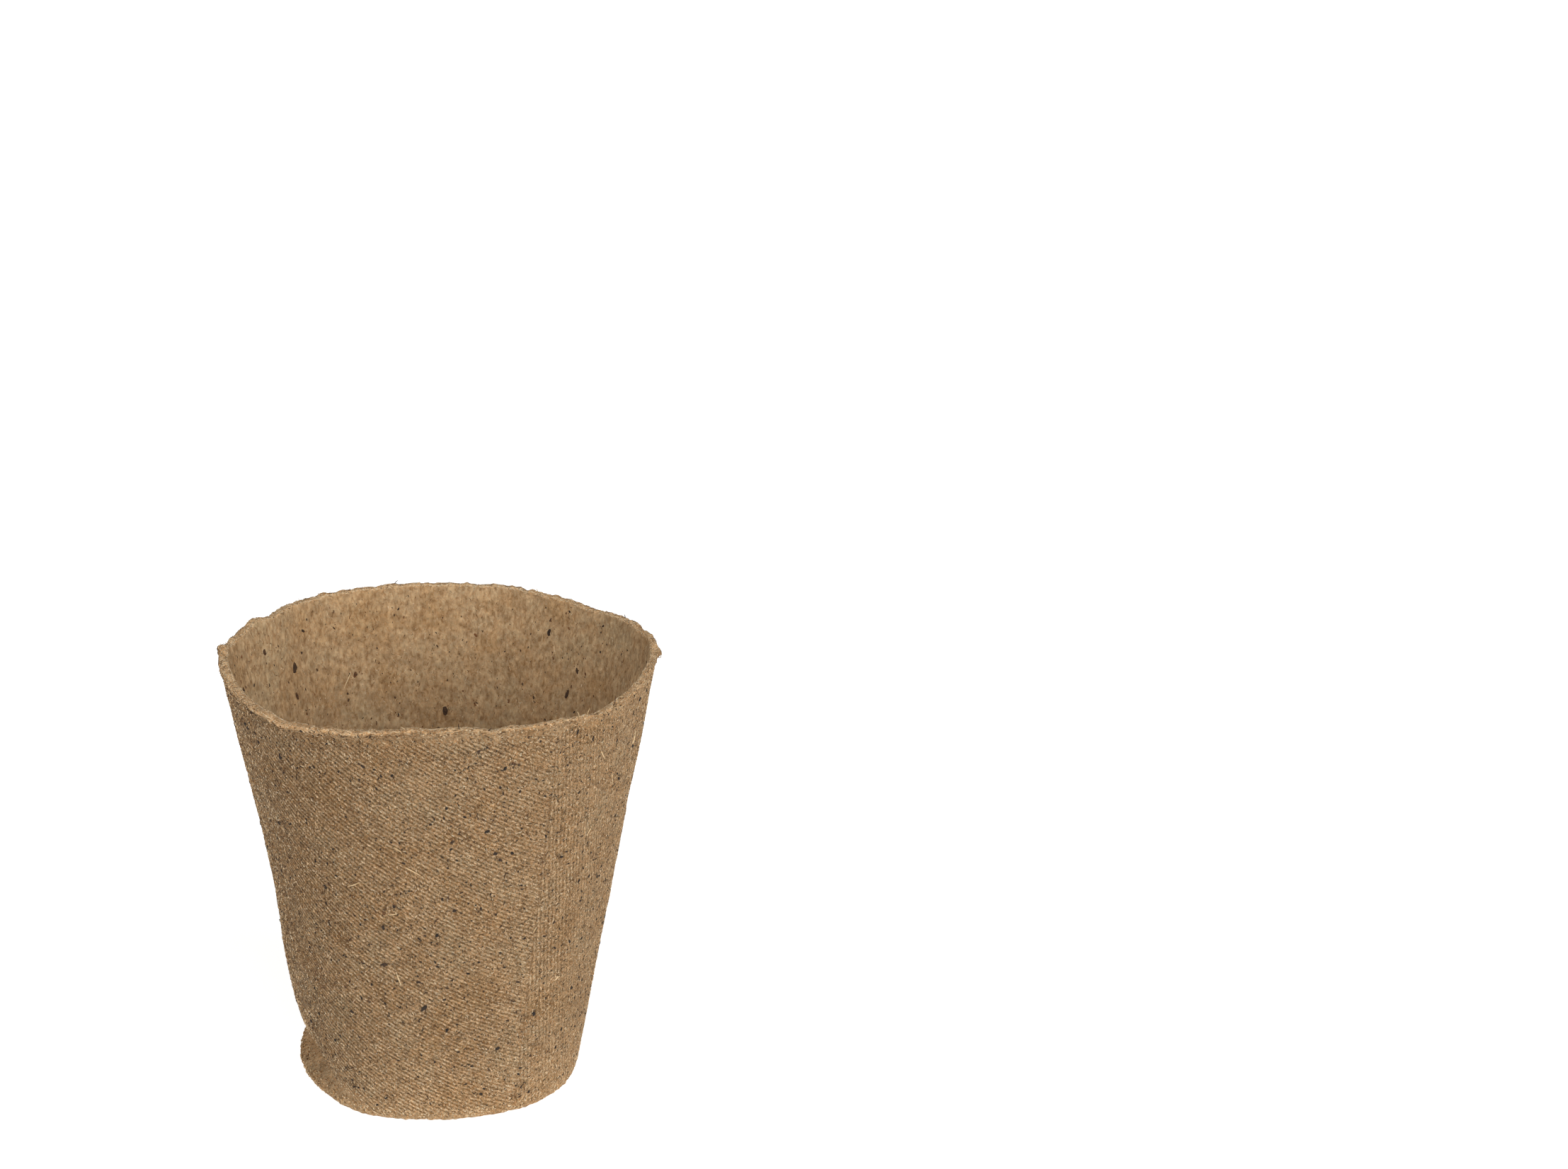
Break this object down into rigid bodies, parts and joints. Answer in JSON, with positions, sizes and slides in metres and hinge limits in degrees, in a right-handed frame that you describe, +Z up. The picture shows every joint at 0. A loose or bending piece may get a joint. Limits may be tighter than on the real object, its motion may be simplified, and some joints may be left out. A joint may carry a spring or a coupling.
{
  "type": "peat pot",
  "caption": "Small round tapered plant pot moulded from peat and wood fibre felt, with a flat closed foot, a thin torn rim and coarse bark, straw and fibre bits pressed into it.",
  "frame": {"origin": "the middle of the foot, on the surface that the pot stands on", "axes": "+Z up through the mouth, -Y towards the front of the pot as it is seen, +X to the right of that"},
  "size_m": [0.0787, 0.0783, 0.084],
  "materials": {
    "peat_felt": "matte",
    "bark": "matte",
    "straw": "matte",
    "root_fibre": "matte"
  },
  "bodies": {
    "root": {"moulded_felt_pot": "peat_felt", "outer_bark_crumbs": "bark", "inner_bark_crumbs": "bark", "outer_straw_slivers": "straw", "inner_straw_slivers": "straw", "pale_rim_fibres": "straw", "dark_rim_fibres": "root_fibre"}
  },
  "joints": []
}
